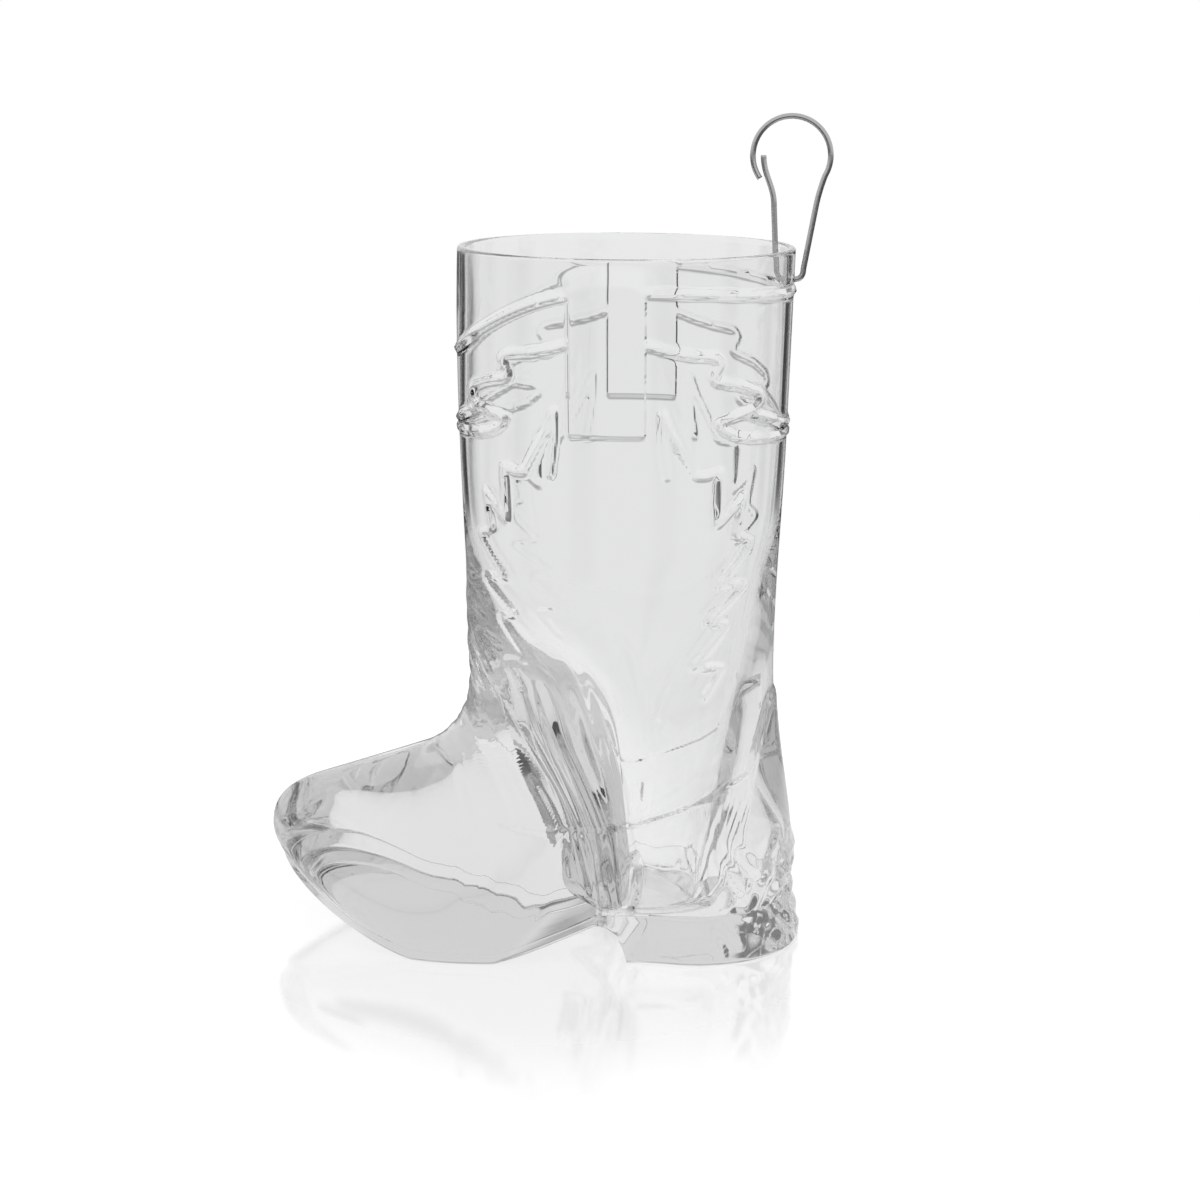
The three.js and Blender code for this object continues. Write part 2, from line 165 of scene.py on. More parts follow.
def breastCurve(t):  # hollow front of the heel, from the arch down to the ground
    start, end = -boot["archEnd"], boot["heelFront"]
    x = start * (1 - t) ** 2 + 2 * (end - boot["breastHollow"]) * t * (1 - t) + end * t * t
    return x, boot["heelHeight"] * (1 - t * t)


def ground(x):  # the walking line: sole, breast and heel
    onHeel = np.interp(x, *breastCurve(np.linspace(0, 1, 60)))
    return np.where(x < -boot["archEnd"], soleUnder(x), onHeel)


def frontOutline():  # x and z down the front: the toe and throat, then the shin up to the rim
    b = boot
    under = [-b["toeUnderReach"], float(featherLine(-b["toeUnderReach"]))]
    tip, crown = [-b["toeReach"], b["toeHeight"]], [-b["toeTopReach"], b["toeTopHeight"]]
    throat, ankle = [-b["throatReach"], b["throatHeight"]], [-b["ankleFront"], b["ankleHeight"]]
    rim = [-b["rimLength"] / 2, b["height"]]
    (crownX, crownZ), (throatX, throatZ) = b["crownRound"], b["throatRound"]
    foot = np.concatenate([
        bezier(under, [tip[0], lerp(under[1], tip[1], b["toeRound"])], tip),
        bezier(tip, [tip[0], lerp(tip[1], crown[1], b["tipRound"])],
               [lerp(crown[0], tip[0], crownX), lerp(crown[1], tip[1], crownZ)], crown),
        bezier(crown, throat),
        bezier(throat, [lerp(throat[0], ankle[0], throatX), lerp(throat[1], ankle[1], throatZ)],
               [ankle[0], lerp(throat[1], ankle[1], b["ankleRound"])], ankle)])
    shin = bezier(ankle, [lerp(ankle[0], -b["calfFront"], 1 / 3), lerp(ankle[1], rim[1], 1 / 3)],
                  [-b["calfFront"], lerp(rim[1], ankle[1], 1 / 3)], rim, count=200)
    return foot, shin


footLine, shinLine = frontOutline()
halfWidth = lineThrough(
    (0, boot["ankleWidth"] / 2), (boot["ankleHeight"], boot["ankleWidth"] / 2),
    (boot["calfHeight"], boot["calfWidth"] / 2), (boot["height"], boot["rimWidth"] / 2))
backReach = lineThrough(
    (float(featherLine(boot["seatBack"])), boot["seatBack"]), (boot["heelBulgeHeight"], boot["heelBulge"]),
    (boot["ankleHeight"], boot["ankleBack"]), (boot["calfHeight"], boot["calfBack"]),
    (boot["height"], boot["rimLength"] / 2))


def frontReach(height):
    return -np.interp(height, shinLine[:, 1], shinLine[:, 0])


def columnShares():  # places round one side, from 0 at the toe to 1 at the heel, close at the heel's breast
    toe, waist = weave["toeShare"], weave["waistShare"]
    breast = breastCurve(np.linspace(0, 1, weave["breast"], endpoint=False))[0]
    reaches = np.concatenate([
        np.linspace(-boot["ballReach"], breast[0], weave["waist"], endpoint=False), breast,
        np.linspace(boot["heelFront"], boot["seatCentre"], weave["seat"], endpoint=False)])
    return np.concatenate([
        toe - toe * np.linspace(1, 0, weave["toe"], endpoint=False) ** weave["gather"],
        toe + waist * (reaches + boot["ballReach"]) / (boot["ballReach"] + boot["seatCentre"]),
        toe + waist + (1 - toe - waist) * np.linspace(0, 1, weave["heel"] + 1) ** weave["gather"]])


def drawClose(places, edge, gap):  # moves the places on either side of an edge close to it
    i = np.searchsorted(places, edge)
    places[i - 1] = max(edge - gap, (places[i - 2] + edge) / 2)
    places[i] = min(edge + gap, (places[i + 1] + edge) / 2)


shares = columnShares()
girth = np.pi * boot["calfFront"]  # mm of the way round for a share of 1, beside the straps
for side, edge in zip((-1, 1), relief["strapEdges"]):
    drawClose(shares, 0.5 + side * relief["strapWidth"] / 2 / girth, edge / girth)


def outline(front, back, half, foot, offset=0.0):  # x and y of one side, a shaft's ellipse or a foot's plan
    angle = np.pi * shares
    reach = np.where(np.cos(angle) > 0, front, back) + offset
    shaftX, shaftY = -np.cos(angle) * reach, np.sin(angle) * (half + offset)
    toe, waist = weave["toeShare"], weave["waistShare"]
    toeTurn = np.clip(shares / toe, 0, 1) * np.pi / 2
    heelTurn = np.clip((shares - toe - waist) / (1 - toe - waist), 0, 1) * np.pi / 2
    along = np.clip((shares - toe) / waist, 0, 1)
    ball, seat = boot["footWidth"] / 2 + offset, boot["seatWidth"] / 2 + offset
    toeX = -boot["ballReach"] - np.cos(toeTurn) * (front + offset - boot["ballReach"])
    heelX = lerp(-boot["ballReach"], boot["seatCentre"], along)
    heelX = heelX + np.sin(heelTurn) * (back + offset - boot["seatCentre"])
    toeY = ball * np.sin(toeTurn) ** boot["toePoint"]
    heelY = lerp(ball, seat, ease(along, 0, 1)) * np.cos(heelTurn)
    footX, footY = np.where(shares < toe, [toeX, toeY], [heelX, heelY])
    return lerp(shaftX, footX, foot), lerp(shaftY, footY, foot)


def row(flat, height):
    return np.stack([flat[0], flat[1], np.broadcast_to(height, flat[0].shape)], 1)


def soleRows():  # underside, rounded edge, sides of sole and heel, and the ledge under the upper
    front, back, half = boot["toeUnderReach"], boot["seatBack"], boot["ankleWidth"] / 2
    plan = outline(front, back, half, 1, boot["soleEdge"])
    top, bottom, rounding = featherLine(plan[0]), ground(plan[0]), boot["edgeRound"]
    behind = ease(plan[0], -boot["archEnd"], back)
    overArch = ease(plan[0], -boot["archStart"], -boot["archEnd"])
    ledge = boot["soleEdge"] * lerp(boot["toeLedge"], 1, overArch)

    def side(height, inset=0.0):
        plain = np.array(outline(front, back, half, 1, ledge - inset))
        wide = np.array(outline(front, back, half, 1, ledge + boot["heelFlare"] - inset))
        flat = lerp(plain, wide, behind * (top - height) / (top + boot["flareDepth"]))
        turn = np.arctan2(flat[1], flat[0] - boot["seatCentre"])
        dent = heelDimples(turn * boot["seatWidth"] / 2, flat[0], height)
        dent = dent * ease(height, *relief["dimpleFoot"])
        return row(flat + dent * [np.cos(turn), np.sin(turn)], height)

    inward = np.linspace(0, 1, weave["underside"], endpoint=False)
    rows = [side(bottom, rounding) * [1, k, 1] for k in inward]
    for turn in np.linspace(0, np.pi / 2, weave["edge"], endpoint=False):
        rows.append(side(bottom + rounding * (1 - np.cos(turn)), rounding * (1 - np.sin(turn))))
    rows += [side(lerp(bottom + rounding, top - rounding / 2, k)) for k in np.linspace(0, 1, weave["side"])]
    for turn in np.linspace(0, np.pi / 2, weave["ledge"] + 1)[1:]:
        rows.append(side(top - rounding / 2 * (1 - np.sin(turn)), rounding / 2 * (1 - np.cos(turn))))
    return np.array(rows)


def upperRows():  # the upper, whose lower levels follow the bent sole
    rows = []
    shin = spaced(shinLine, weave["shaft"])
    drawClose(shin[:, 1], relief["strapFoot"], relief["strapFootEdge"])
    shin[:, 0] = -frontReach(shin[:, 1])
    line = np.concatenate([spaced(footLine, weave["foot"])[:-1], shin])
    for x, z in line[line[:, 1] < boot["height"] - boot["lipRound"]]:
        feather = featherLine(x)
        level = max((z - feather) / (1 - feather / boot["bendTop"]), 0) if z < boot["bendTop"] else z
        bend = max(1 - level / boot["bendTop"], 0)
        back = backReach(level + featherLine(boot["seatBack"]) * bend)
        plan = outline(-x, back, halfWidth(level), 1 - ease(level, 0, boot["bendTop"]))
        rows.append(row(plan, level + featherLine(plan[0]) * bend))
    return np.array(rows)


def lipRows():  # over the rounded lip of the rim
    height, rounding = boot["height"], boot["lipRound"]
    rows = []
    for turn in np.linspace(0, np.pi, 2 * weave["lip"] + 2):
        across = rounding * (1 - np.cos(turn))
        if turn > np.pi / 2:
            across = boot["wall"] - rounding * (1 + np.cos(turn))
        plan = outline(frontReach(height), backReach(height), halfWidth(height), 0, -across)
        rows.append(row(plan, height - rounding * (1 - np.sin(turn))))
    return np.array(rows)


def wellRows(topHeights):  # down inside: parallel to the shaft, drawn in at the ankle, with a rounded floor
    b = boot

    def line(part, share, outside):  # reaches from the floor up to the rim
        levels = ["well" + place for place in ("Floor", "Foot", "Waist", "Neck")]
        drawnIn = [(b[level], b[level + part] * share) for level in levels]
        parallel = [(z, outside(z) - b["wall"]) for z in (b["wellShoulder"], b["height"])]
        return lineThrough(*drawnIn, *parallel)

    front, back = line("Front", 1, frontReach), line("Back", 1, backReach)
    half = line("Width", 0.5, halfWidth)

    def ring(height, inset=0.0):
        shift = (back(height) - front(height)) / 2 * ease(height, b["wellShoulder"], b["wellNeck"])
        plan = outline(front(height) + shift, back(height) - shift, half(height), 0, -inset)
        ahead = np.clip(-plan[0] / (front(height) + shift - inset), 0, 1)
        phase = 2 * np.pi * (plan[0] + shift + b["fluteLean"] * height) / b["fluteSpacing"]
        swerve, rate = b["fluteSwerve"]
        change, beat = b["fluteChange"]
        flutes = np.sin(phase + swerve * np.sin(rate * height))
        flutes = flutes * (1 - change + change * np.cos(beat * phase))
        flutes = b["fluteHeight"] * flutes * ease(ahead, *b["fluteBack"]) * ease(ahead, *b["fluteFront"])
        prow = np.minimum(half(height) * (1 - ahead ** b["wellPoint"]) + flutes, plan[1])
        across = np.where(ahead > 0, lerp(plan[1], prow, ease(height, *b["wellPointed"])), plan[1])
        return row((plan[0] + shift, across), height)

    corner = b["wellFloor"] + b["wellCorner"]
    rows = [ring(z) for z in topHeights]
    for t in np.linspace(0, 1, weave["well"] + 1)[1:]:
        rows.append(ring(lerp(topHeights[-1], corner, t ** weave["wellGather"])))
    for turn in np.linspace(0, np.pi / 2, weave["corner"] + 1)[1:]:
        rows.append(ring(corner - b["wellCorner"] * np.sin(turn), b["wellCorner"] * (1 - np.cos(turn))))
    floor = rows[-1]
    rows += [floor * [1, k, 1] for k in np.linspace(1, 0, weave["floor"] + 1)[1:]]
    return np.array(rows)


def bead(distance, width):  # a rounded profile, 1 in the middle and 0 at half the width away
    return np.clip(1 - (2 * distance / width) ** 2, 0, 1) ** 1.5


def nearness(u, v, points, width):  # 1 on a line of points, falling to 0 at half the width away
    least = np.full(u.shape, 1e9)
    for (u0, v0), (u1, v1) in zip(points, points[1:]):
        du, dv = u1 - u0, v1 - v0
        t = np.clip(((u - u0) * du + (v - v0) * dv) / (du * du + dv * dv), 0, 1)
        least = np.minimum(least, np.hypot(u - u0 - t * du, v - v0 - t * dv))
    return bead(least, width)


def reliefHeights(upper):  # how far each place of the upper stands proud, for one side
    r = relief
    x, z = upper[..., 0], upper[..., 2]
    steps = np.linalg.norm(np.diff(upper, axis=1), axis=2)
    walked = np.concatenate([np.zeros((len(upper), 1)), np.cumsum(steps, axis=1)], axis=1)
    middle = np.array([np.interp(0.5, shares, w) for w in walked])
    away = np.abs(walked - middle[:, None])
    turn = np.cos(np.pi * shares)[None, :] * np.ones_like(z)
    collar = r["collarHeight"] - np.where(turn > 0, r["collarDip"], r["collarBackDip"]) * turn ** 2
    raised = r["cordHeight"] * bead(z - collar, r["cordWidth"])
    onShaft = ease(z, *r["shaftStart"])
    for name in ("scroll", "leaf", "finger", "flame"):
        raised = np.maximum(raised, onShaft * r["cordHeight"] * nearness(away, z, r[name], r["cordWidth"]))
    edge = lerp(np.where(shares < 0.5, *r["strapEdges"]), r["strapTopEdge"], ease(z, *r["strapWidens"]))
    strap = ease(r["strapWidth"] / 2 - np.abs(shares - 0.5) * girth, -edge, edge)
    strap = strap * ease(z - r["strapFoot"], -r["strapFootEdge"], r["strapFootEdge"])
    strap = strap * ease(z, boot["height"], r["strapTop"])
    raised = np.maximum(raised, r["strapThickness"] * strap)
    for name in ("vampSeam", "sideSeam"):
        raised = np.maximum(raised, r["seamHeight"] * nearness(x, z, r[name], r["seamWidth"]))
    seam = np.interp(x, *np.array(r["vampSeam"] + [(r["counterBack"], r["counterTop"])]).T)
    counter = ease(seam - z, -r["counterEdge"], 0) * ease(x, *r["counterStart"])
    raised = np.maximum(raised, r["counterThickness"] * counter)
    return raised + ankleFolds(x, z) + heelDimples(away, x, z)


def heelDimples(u, x, z):  # uneven moulding round the back of the heel
    r = relief
    (sway, swayLength), (bob, bobLength) = r["dimpleSwerve"]
    across = np.sin(2 * np.pi * u / r["dimpleSpacing"] + sway * np.sin(z / swayLength))
    down = np.sin(2 * np.pi * z / (r["dimpleStretch"] * r["dimpleSpacing"]) + bob * np.sin(u / bobLength))
    return r["dimpleHeight"] * across * down * ease(x, *r["dimpleStart"]) * ease(z, *r["dimpleTop"])


def ankleFolds(x, z):  # creases that run down and back from the shin over the instep
    r = relief
    low, high = r["foldTurn"]  # upright below, leaning above
    turning = np.where(z < high, (z - low) ** 2 / (2 * (high - low)), z - (low + high) / 2)
    lean = r["foldLean"] * np.where(z < low, 0, turning)
    phase = 2 * np.pi * (x + lean) / r["foldSpacing"]
    swerve, rate = r["foldSwerve"]
    beat, drift = r["foldChange"]
    wave = np.sin(phase + swerve * np.sin(rate * z)) * np.cos(beat * phase + drift * z)
    wave = (1 - r["foldDepth"] + r["foldDepth"] * wave) ** r["foldCrest"]
    behind = r["foldBack"] - r["foldSpread"] * np.abs(z - r["foldMiddle"])
    where = ease(x, behind, behind - r["foldFade"]) * ease(z, *r["foldFoot"]) * ease(z, *r["foldTop"])
    where = where * np.maximum(ease(x, *r["foldToe"]), ease(z, *r["foldInstep"]))
    return r["foldHeight"] * wave * where


def bothSides(half):  # one side's columns, then the other's back to the toe
    near = half * [1, -1, 1]
    return np.concatenate([near, half[:, -2:0:-1]], axis=1)


def raisedUpper():
    half = upperRows()
    heights = reliefHeights(half)
    heights = np.concatenate([heights, heights[:, -2:0:-1]], axis=1)
    full = bothSides(half)
    along = np.roll(full, -1, axis=1) - np.roll(full, 1, axis=1)
    up = np.gradient(full, axis=0)
    out = np.cross(along, up)
    out /= np.maximum(np.linalg.norm(out, axis=2, keepdims=True), 1e-9)
    return full + out * heights[..., None]


def wrapGrid(bm, places):  # a flat grid of faces, laid over rows and columns of places and joined up
    rows, columns = places.shape[:2]
    bmesh.ops.create_grid(bm, x_segments=columns, y_segments=rows - 1, size=1)
    for vert in bm.verts:
        column = round((vert.co.x + 1) / 2 * columns) % columns
        vert.co = places[round((vert.co.y + 1) / 2 * (rows - 1)), column]
    bmesh.ops.remove_doubles(bm, verts=bm.verts, dist=1e-3)


def drillHole(bm, height):  # opens the back wall and joins its two sides round the hole
    radius = boot["holeRadius"]

    def away(place):
        return math.hypot(place.y, place.z - height) if place.x > 0 else 1e9

    bm.normal_update()
    doomed = [f for f in bm.faces if away(f.calc_center_median()) < radius * boot["holeCut"]]
    rings = {e for f in doomed for e in f.edges if sum(g in doomed for g in e.link_faces) == 1}
    for vert in {v for e in rings for v in e.verts}:
        grow = radius / away(vert.co)
        vert.co = (vert.co.x, vert.co.y * grow, height + (vert.co.z - height) * grow)
    bmesh.ops.delete(bm, geom=doomed, context="FACES")
    bmesh.ops.bridge_loops(bm, edges=[e for e in rings if e.is_valid])


def pieceOf(bm, name, material, body, node):
    bmesh.ops.recalc_face_normals(bm, faces=bm.faces)
    mesh = bpy.data.meshes.new(name)
    bm.to_mesh(mesh)
    bm.free()
    mesh.shade_smooth()
    mesh.materials.append(material)
    piece = bpy.data.objects.new(name, mesh)
    bpy.context.scene.collection.objects.link(piece)
    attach(piece, body)
    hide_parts(node)
    print(name, len(mesh.polygons), "faces")
    return piece


# The wire clip: a free tip, down inside the rim, out through the wall, and up into a pear shaped loop
clip = {
    "wire": 0.7, "legGap": 1.25, "outsideBend": 1.1, "neckRise": 8.9, "neckGap": 5.1, "neckShift": 0.5,
    "loopDiameter": 9.4, "loopRise": 14.9, "loopJoin": 30, "loopEnd": 36, "tipRise": 14.9, "tipInset": 1.3,
    "tipHandles": (0.6, 0.4), "shoulderHandle": (1.25, 0.3), "loopSteps": 90, "rings": 260, "sides": 20,
}
holeHeight = boot["height"] - boot["holeDrop"]
insideLeg = backReach(holeHeight) - boot["wall"] - clip["legGap"]
outsideLeg = backReach(holeHeight) + clip["outsideBend"]
loopCentre = (insideLeg + outsideLeg) / 2
loopRadius = clip["loopDiameter"] / 2
clipReach = loopCentre + loopRadius + clip["wire"] / 2
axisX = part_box("hanging_clip")[1].x / mm - clipReach  # the shaft's axis, from the frame's origin


def clipLine():
    c = clip
    bendTop, neck, loop = holeHeight + c["legGap"], holeHeight + c["neckRise"], holeHeight + c["loopRise"]
    neckIn = loopCentre + c["neckShift"] - c["neckGap"] / 2
    neckOut = neckIn + c["neckGap"]
    tip = loopCentre - loopRadius + c["tipInset"]
    turn = np.radians(np.linspace(-c["loopJoin"], 180 + c["loopEnd"], c["loopSteps"]))
    arc = np.stack([loopCentre + loopRadius * np.cos(turn), loop + loopRadius * np.sin(turn)], 1)
    (tipHigh, tipLow), (shoulderX, shoulderZ) = c["tipHandles"], c["shoulderHandle"]
    shoulder = (lerp(outsideLeg, neckOut, shoulderX), lerp(neck, loop, shoulderZ))
    line = np.concatenate([
        bezier((tip, holeHeight + c["tipRise"]), (tip, lerp(neck, loop, tipHigh)),
               (neckIn, lerp(neck, loop, tipLow)), (neckIn, neck)),
        bezier((neckIn, neck), (insideLeg, bendTop)),
        bezier((insideLeg, bendTop), (insideLeg, holeHeight), (insideLeg + c["legGap"], holeHeight)),
        bezier((insideLeg + c["legGap"], holeHeight), (outsideLeg - c["outsideBend"], holeHeight)),
        bezier((outsideLeg - c["outsideBend"], holeHeight), (outsideLeg, holeHeight),
               (outsideLeg, bendTop)),
        bezier((outsideLeg, bendTop), (neckOut, neck)),
        bezier((neckOut, neck), shoulder, tuple(arc[0])),
        arc])
    return spaced(line, c["rings"])


def buildClip():
    line = clipLine()
    curve = bpy.data.curves.new("clipLine", "CURVE")
    curve.dimensions = "3D"
    curve.bevel_depth = clip["wire"] / 2 * mm
    curve.bevel_resolution = clip["sides"] // 4
    curve.use_fill_caps = True
    spline = curve.splines.new("POLY")
    spline.points.add(len(line) - 1)
    for point, (x, z) in zip(spline.points, line):
        point.co = ((x + axisX) * mm, 0, z * mm, 1)
    drawn = bpy.data.objects.new("clipLine", curve)
    bpy.context.scene.collection.objects.link(drawn)
    bm = bmesh.new()
    bm.from_mesh(drawn.evaluated_get(bpy.context.evaluated_depsgraph_get()).to_mesh())
    bpy.data.objects.remove(drawn)
    bmesh.ops.remove_doubles(bm, verts=bm.verts, dist=1e-6)
    return pieceOf(bm, "spring_wire_clip", springSteel(), "clip", "hanging_clip")


def buildBoot():
    lip = lipRows()
    upper = raisedUpper()
    heights = upper[-weave["wellTop"]:, 0, 2][::-1]
    places = np.concatenate([bothSides(soleRows()), upper, bothSides(lip), bothSides(wellRows(heights))])
    bm = bmesh.new()
    wrapGrid(bm, places)
    drillHole(bm, holeHeight)
    bmesh.ops.translate(bm, verts=bm.verts, vec=(axisX, 0, 0))
    bmesh.ops.scale(bm, verts=bm.verts, vec=(mm, mm, mm))
    piece = pieceOf(bm, "moulded_boot", clearPlastic(), "boot", "boot_cup")
    piece.data.set_sharp_from_angle(angle=math.radians(boot["sharpAngle"]))
    return piece


def newMaterial(name):
    material = bpy.data.materials.new(name)
    material.use_nodes = True
    tree = material.node_tree
    return material, tree, tree.nodes["Principled BSDF"]


def noiseOn(tree, scale, detail, stretch=(1, 1, 1)):  # noise on the piece's own coordinates
    place = tree.nodes.new("ShaderNodeTexCoord")
    mapping = tree.nodes.new("ShaderNodeMapping")
    mapping.inputs["Scale"].default_value = stretch
    noise = tree.nodes.new("ShaderNodeTexNoise")
    noise.inputs["Scale"].default_value = scale
    noise.inputs["Detail"].default_value = detail
    tree.links.new(place.outputs["Object"], mapping.inputs["Vector"])
    tree.links.new(mapping.outputs["Vector"], noise.inputs["Vector"])
    return noise.outputs["Fac"]


def ranged(tree, value, low, high):  # the middle of a noise as a range of values
    node = tree.nodes.new("ShaderNodeMapRange")
    node.inputs["From Min"].default_value = 0.3
    node.inputs["From Max"].default_value = 0.7
    node.inputs["To Min"].default_value = low
    node.inputs["To Max"].default_value = high
    tree.links.new(value, node.inputs["Value"])
    return node.outputs["Result"]


def bumpFrom(tree, value, strength, distance):
    bump = tree.nodes.new("ShaderNodeBump")
    bump.inputs["Strength"].default_value = strength
    bump.inputs["Distance"].default_value = distance
    tree.links.new(value, bump.inputs["Height"])
    return bump.outputs["Normal"]


# Crystal polystyrene: handling haze, faint flow lines up the mould, and a grey cast where it is thick
plastic = {
    "tint": (0.985, 0.988, 0.99, 1), "ior": 1.57, "haze": (0.0, 0.035), "hazeScale": 180, "hazeDetail": 4,
    "flowScale": 120, "flowDetail": 2, "flowStretch": (1, 1, 0.25),
    "flowStrength": 0.03, "flowDepth": 0.001,
    "cast": (0.5, 0.5, 0.5, 1), "castDensity": 11,
}


def clearPlastic():
    p = plastic
    material, tree, shader = newMaterial("clearPlastic")
    shader.inputs["Base Color"].default_value = p["tint"]
    shader.inputs["Transmission Weight"].default_value = 1
    shader.inputs["IOR"].default_value = p["ior"]
    haze = noiseOn(tree, p["hazeScale"], p["hazeDetail"])
    tree.links.new(ranged(tree, haze, *p["haze"]), shader.inputs["Roughness"])
    flow = noiseOn(tree, p["flowScale"], p["flowDetail"], p["flowStretch"])
    tree.links.new(bumpFrom(tree, flow, p["flowStrength"], p["flowDepth"]), shader.inputs["Normal"])
    inside = tree.nodes.new("ShaderNodeVolumeAbsorption")
    inside.inputs["Color"].default_value = p["cast"]
    inside.inputs["Density"].default_value = p["castDensity"]
    tree.links.new(inside.outputs["Volume"], tree.nodes["Material Output"].inputs["Volume"])
    return material


# Bright drawn wire with a little wear and fine drawing marks
steel = {
    "colour": (0.45, 0.45, 0.455, 1), "wear": (0.2, 0.32), "wearScale": 1500, "wearDetail": 3,
    "markScale": 4000, "markDetail": 2, "markStrength": 0.04, "markDepth": 0.0001,
}


def springSteel():
    p = steel
    material, tree, shader = newMaterial("springSteel")
    shader.inputs["Metallic"].default_value = 1
    shader.inputs["Base Color"].default_value = p["colour"]
    wear = noiseOn(tree, p["wearScale"], p["wearDetail"])
    tree.links.new(ranged(tree, wear, *p["wear"]), shader.inputs["Roughness"])
    marks = noiseOn(tree, p["markScale"], p["markDetail"])
    tree.links.new(bumpFrom(tree, marks, p["markStrength"], p["markDepth"]), shader.inputs["Normal"])
    return material


# The studio: a white floor and backdrop, a pool of light painted on the floor round the boot, soft light
# from above, and dark cards that draw the clear edges.
# Tones are strengths, bands are heights of a direction (z), and cards are placed in degrees from the view.
studio = {
    "floorRadius": 0.14, "floorSides": 96, "floorDrop": 0.00005, "floorGlow": 1.04,
    # floorThrough and floorEdge: the floor's glow inside and beyond a painted pool of light round the boot,
    # seen through the plastic
    "floorThrough": 0.88, "floorEdge": 0.69, "floorPaintedPool": (0.035, 0.08), "floorWhite": 0.16,
    "floorGloss": 0.42, "floorRoughness": 0.1, "floorFade": (0.03, 0.08),
    "roomLight": 0.75, "backdrop": 0.835, "above": 0.76, "aboveBand": (0.08, 0.16), "surround": 0.02,
    "horizon": 0.6, "horizonBand": (-0.1, 0.02, 0.12), "horizonAhead": (0.82, 0.9),
    "mirrored": 0.12, "overhead": 1.0, "overheadBand": (-0.14, 0.02),
    # dark cards: degrees, half width in degrees, shade; then lowest and highest z, and softness
    "sides": [(-27, 9.5, 1), (32, 10, 1), (-149, 6, 0.6), (-104, 6, 0.6), (-59, 6, 0.6),
              (76, 6, 0.6), (121, 6, 0.6), (166, 6, 0.6)],
    "sideBand": (-0.28, -0.04, 0.08),
    "cards": [(-47, 23, 0.8, 0.25, 0.62, 0.08), (-62, 13, 1, -0.1, 0.22, 0.03)],
    "cardEdge": 3,
    "viewAzimuth": 8.593, "viewElevation": 14.092, "viewDistance": 0.31104, "lens": 73.05,
    "viewTarget": (-3.212, 0, 43.791),
    "softboxPower": 0.6, "softboxSize": 0.5, "softboxPlace": (-0.1, -0.15, 0.6), "softboxAim": 0.05,
}


def mathNode(tree, operation, *values):
    node = tree.nodes.new("ShaderNodeMath")
    node.operation = operation
    for socket, value in zip(node.inputs, values):
        if isinstance(value, (int, float)):
            socket.default_value = value
        else:
            tree.links.new(value, socket)
    return node.outputs[0]


def blend(tree, share, first, second):  # first where the share is 0, second where it is 1
    node = tree.nodes.new("ShaderNodeMix")
    for socket, value in zip(node.inputs, (share, None, first, second)):
        if isinstance(value, (int, float)):
            socket.default_value = value
        elif value:
            tree.links.new(value, socket)
    return node.outputs[0]


def smoothNode(tree, value, start, end):  # 0 at start, 1 at end, eased between
    node = tree.nodes.new("ShaderNodeMapRange")
    node.interpolation_type = "SMOOTHSTEP"
    node.inputs["From Min"].default_value = start
    node.inputs["From Max"].default_value = end
    tree.links.new(value, node.inputs["Value"])
    return node.outputs["Result"]


def azimuthFrom(tree, direction, degrees):  # turn from the camera's own direction, less some degrees
    split = tree.nodes.new("ShaderNodeSeparateXYZ")
    tree.links.new(direction, split.inputs[0])
    azimuth = mathNode(tree, "ARCTAN2", split.outputs["X"], split.outputs["Y"])
    return mathNode(tree, "ADD", azimuth, math.radians(studio["viewAzimuth"] - degrees))


def darkCard(tree, direction, z, turn, half, shade, low, high, soft):  # how far a card darkens
    outer, inner = half + studio["cardEdge"], half - studio["cardEdge"]
    card = mathNode(tree, "COSINE", azimuthFrom(tree, direction, turn))
    card = smoothNode(tree, card, math.cos(math.radians(outer)), math.cos(math.radians(inner)))
    card = mathNode(tree, "MULTIPLY", card, smoothNode(tree, z, low - soft, low + soft))
    card = mathNode(tree, "MULTIPLY", card, smoothNode(tree, z, high + soft, high - soft))
    return mathNode(tree, "MULTIPLY", card, shade)


def buildWorld():
    s = studio
    world = bpy.data.worlds.new("studioRoom")
    bpy.context.scene.world = world
    world.use_nodes = True
    tree = world.node_tree
    light = tree.nodes.new("ShaderNodeLightPath")
    place = tree.nodes.new("ShaderNodeTexCoord")
    split = tree.nodes.new("ShaderNodeSeparateXYZ")
    tree.links.new(place.outputs["Generated"], split.inputs[0])
    direction, z = place.outputs["Generated"], split.outputs["Z"]
    low, middle, high = s["horizonBand"]
    rising, falling = smoothNode(tree, z, low, middle), smoothNode(tree, z, high, middle)
    horizon = mathNode(tree, "MULTIPLY", rising, falling)
    ahead = mathNode(tree, "COSINE", azimuthFrom(tree, direction, 0))
    horizon = mathNode(tree, "MULTIPLY", horizon, smoothNode(tree, ahead, *s["horizonAhead"]))
    dark = mathNode(tree, "MULTIPLY", horizon, s["horizon"])
    for card in [(*side, *s["sideBand"]) for side in s["sides"]] + s["cards"]:
        dark = mathNode(tree, "MAXIMUM", dark, darkCard(tree, direction, z, *card))
    up = smoothNode(tree, z, *s["aboveBand"])
    pale = mathNode(tree, "MULTIPLY_ADD", up, s["above"] - s["backdrop"], s["backdrop"])
    through = blend(tree, dark, pale, s["surround"])
    overhead = smoothNode(tree, z, *s["overheadBand"])
    mirrored = mathNode(tree, "MULTIPLY_ADD", overhead, s["overhead"] - s["mirrored"], s["mirrored"])
    paths = light.outputs  # refracted rays count as glossy too, so transmission comes after it
    strength = blend(tree, paths["Is Glossy Ray"], s["roomLight"], mirrored)
    strength = blend(tree, paths["Is Transmission Ray"], strength, through)
    strength = blend(tree, paths["Is Camera Ray"], strength, 1)
    background = tree.nodes["Background"]
    background.inputs["Color"].default_value = (1, 1, 1, 1)
    tree.links.new(strength, background.inputs["Strength"])


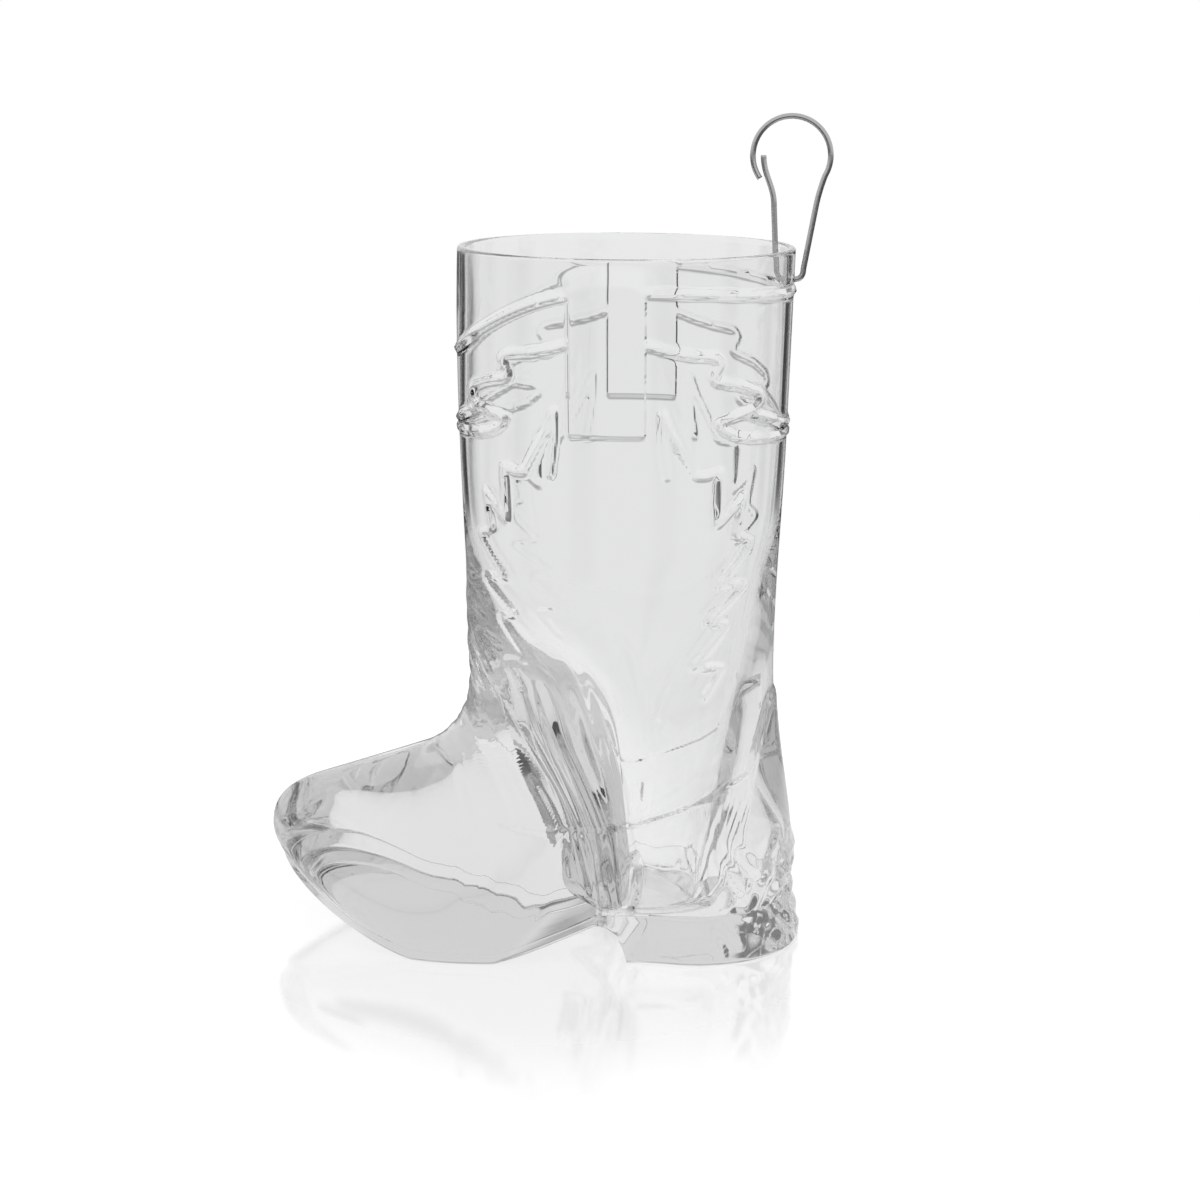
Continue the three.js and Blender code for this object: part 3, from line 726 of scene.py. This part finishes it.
def buildFloor():
    s = studio
    bm = bmesh.new()
    bmesh.ops.create_circle(bm, cap_ends=True, segments=s["floorSides"], radius=s["floorRadius"])
    bmesh.ops.translate(bm, verts=bm.verts, vec=(0, 0, -s["floorDrop"]))  # leaves air under the sole
    mesh = bpy.data.meshes.new("floor")
    bm.to_mesh(mesh)
    bm.free()
    floor = bpy.data.objects.new("floor", mesh)
    bpy.context.scene.collection.objects.link(floor)
    material = bpy.data.materials.new("whiteFloor")
    material.use_nodes = True
    tree = material.node_tree
    tree.nodes.remove(tree.nodes["Principled BSDF"])
    glow = tree.nodes.new("ShaderNodeEmission")
    light = tree.nodes.new("ShaderNodeLightPath")
    place = tree.nodes.new("ShaderNodeTexCoord")
    reach = tree.nodes.new("ShaderNodeVectorMath")
    reach.operation = "LENGTH"
    tree.links.new(place.outputs["Object"], reach.inputs[0])
    reach, paths = reach.outputs["Value"], light.outputs
    # painted pool of light: rays through and off the plastic see the floor glow brighter near the boot,
    # dimmer further out
    rise = smoothNode(tree, reach, *s["floorPaintedPool"])
    through = mathNode(tree, "MULTIPLY_ADD", rise, s["floorEdge"] - s["floorThrough"], s["floorThrough"])
    inner = smoothNode(tree, reach, s["floorRadius"], s["floorPaintedPool"][1])
    mirrored = mathNode(tree, "MULTIPLY", through, inner)  # painted shade: in reflections the floor's glow fades to dark towards its edge
    strength = blend(tree, paths["Is Glossy Ray"], through, mirrored)
    strength = blend(tree, paths["Is Transmission Ray"], strength, through)
    strength = blend(tree, paths["Is Camera Ray"], strength, s["floorGlow"])
    tree.links.new(strength, glow.inputs["Strength"])
    matt = tree.nodes.new("ShaderNodeBsdfDiffuse")
    matt.inputs["Color"].default_value = (s["floorWhite"],) * 3 + (1,)
    shine = tree.nodes.new("ShaderNodeBsdfGlossy")
    shine.inputs["Roughness"].default_value = s["floorRoughness"]
    body = tree.nodes.new("ShaderNodeAddShader")
    mix = tree.nodes.new("ShaderNodeMixShader")
    near = mathNode(tree, "SUBTRACT", 1, smoothNode(tree, reach, *s["floorFade"]))
    tree.links.new(mathNode(tree, "MULTIPLY", near, s["floorGloss"]), mix.inputs["Fac"])
    tree.links.new(glow.outputs[0], body.inputs[0])
    tree.links.new(matt.outputs[0], body.inputs[1])
    tree.links.new(body.outputs[0], mix.inputs[1])
    tree.links.new(shine.outputs[0], mix.inputs[2])
    tree.links.new(mix.outputs[0], tree.nodes["Material Output"].inputs["Surface"])
    mesh.materials.append(material)


def buildLamp():
    s = studio
    lamp = bpy.data.lights.new("softboxAbove", "AREA")
    lamp.size = s["softboxSize"]
    lamp.energy = s["softboxPower"]
    holder = bpy.data.objects.new("softboxAbove", lamp)
    holder.location = s["softboxPlace"]
    aim = Vector((axisX * mm, 0, s["softboxAim"])) - Vector(s["softboxPlace"])
    holder.rotation_euler = aim.to_track_quat("-Z", "Y").to_euler()
    holder.visible_glossy = False  # the room gives the reflections
    holder.visible_transmission = False
    bpy.context.scene.collection.objects.link(holder)


def buildCamera():
    s = studio
    a, e = math.radians(s["viewAzimuth"]), math.radians(s["viewElevation"])
    back = Vector((math.sin(a) * math.cos(e), -math.cos(a) * math.cos(e), math.sin(e)))
    x, y, z = s["viewTarget"]
    camera = bpy.data.objects.new("camera", bpy.data.cameras.new("camera"))
    camera.data.lens = s["lens"]
    camera.data.clip_start = 0.01
    camera.location = Vector((x + axisX, y, z)) * mm + back * s["viewDistance"]
    camera.rotation_euler = (-back).to_track_quat("-Z", "Y").to_euler()
    bpy.context.scene.collection.objects.link(camera)
    bpy.context.scene.camera = camera


bpy.context.scene.view_settings.view_transform = "Standard"
bpy.context.scene.cycles.max_bounces = 24  # light turns many times inside the solid toe and heel
bpy.context.scene.cycles.glossy_bounces = 16
bpy.context.scene.cycles.transmission_bounces = 20
buildCamera()
buildBoot()
buildClip()
buildWorld()
buildFloor()
buildLamp()
print("studio ready")

bpy.context.view_layer.update()
